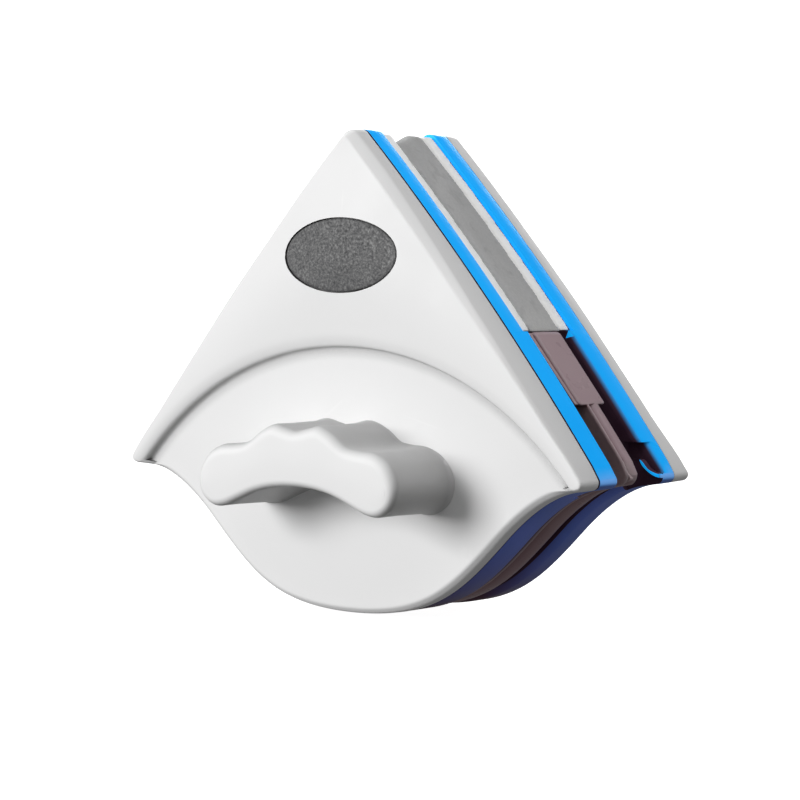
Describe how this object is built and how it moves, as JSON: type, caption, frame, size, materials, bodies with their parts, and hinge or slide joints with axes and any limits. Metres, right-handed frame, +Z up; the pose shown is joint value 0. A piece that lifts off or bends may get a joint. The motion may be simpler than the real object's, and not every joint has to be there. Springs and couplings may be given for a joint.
{
  "type": "magnetic glass cleaner",
  "caption": "Double-sided magnetic glass cleaner: two triangular, bell-bottomed halves with bar handles, wiper pads and blades, parked on a spacer board.",
  "frame": {"origin": "centre of the bounding box; the glass plane is Y = 0", "axes": "+X to the right along the width, +Y from the front half towards the rear half, +Z up towards the apex"},
  "size_m": [0.1498, 0.0904, 0.1256],
  "materials": {
    "white_cover": "moulded white plastic, satin gloss",
    "white_grip": "moulded white plastic, satin gloss",
    "badge_inlay": "dark grey, fine grained",
    "seal_rubber": "matte",
    "blue_base": "moulded blue plastic",
    "blade_rubber": "smooth brown rubber",
    "steel_plate": "rolled",
    "nickel_magnet": "nickel plated",
    "white_fleece": "short pile",
    "screw_steel": "zinc plated",
    "grey_foam": "closed-cell foam",
    "smoked_plastic": "smoked, semi-gloss"
  },
  "bodies": {
    "front_half": {"front_cover": "white_cover", "front_grip": "white_grip", "front_badge": "badge_inlay", "front_seal": "seal_rubber", "front_base": "blue_base", "front_wiper_blade": "blade_rubber", "front_yoke_plate": "steel_plate", "front_magnet_top": "nickel_magnet", "front_magnet_left": "nickel_magnet", "front_magnet_right": "nickel_magnet", "front_pad_left": "white_fleece", "front_pad_right": "white_fleece", "front_base_screw_1": "screw_steel", "front_base_screw_2": "screw_steel", "front_base_screw_3": "screw_steel", "front_grip_screw_left": "screw_steel", "front_grip_screw_right": "screw_steel"},
    "spacer": {"spacer_foam": "grey_foam", "spacer_tray": "smoked_plastic"},
    "rear_half": {"rear_cover": "white_cover", "rear_grip": "white_grip", "rear_badge": "badge_inlay", "rear_seal": "seal_rubber", "rear_base": "blue_base", "rear_wiper_blade": "blade_rubber", "rear_yoke_plate": "steel_plate", "rear_magnet_top": "nickel_magnet", "rear_magnet_left": "nickel_magnet", "rear_magnet_right": "nickel_magnet", "rear_pad_left": "white_fleece", "rear_pad_right": "white_fleece", "rear_base_screw_1": "screw_steel", "rear_base_screw_2": "screw_steel", "rear_base_screw_3": "screw_steel", "rear_grip_screw_left": "screw_steel", "rear_grip_screw_right": "screw_steel"}
  },
  "joints": [
    {"name": "spacer_lift_off", "type": "slide", "parent": "front_half", "child": "spacer", "axis": [0, 1, 0], "range_m": [0, 0.03]},
    {"name": "rear_pull_off", "type": "slide", "parent": "spacer", "child": "rear_half", "axis": [0, 1, 0], "range_m": [0, 0.06]}
  ]
}
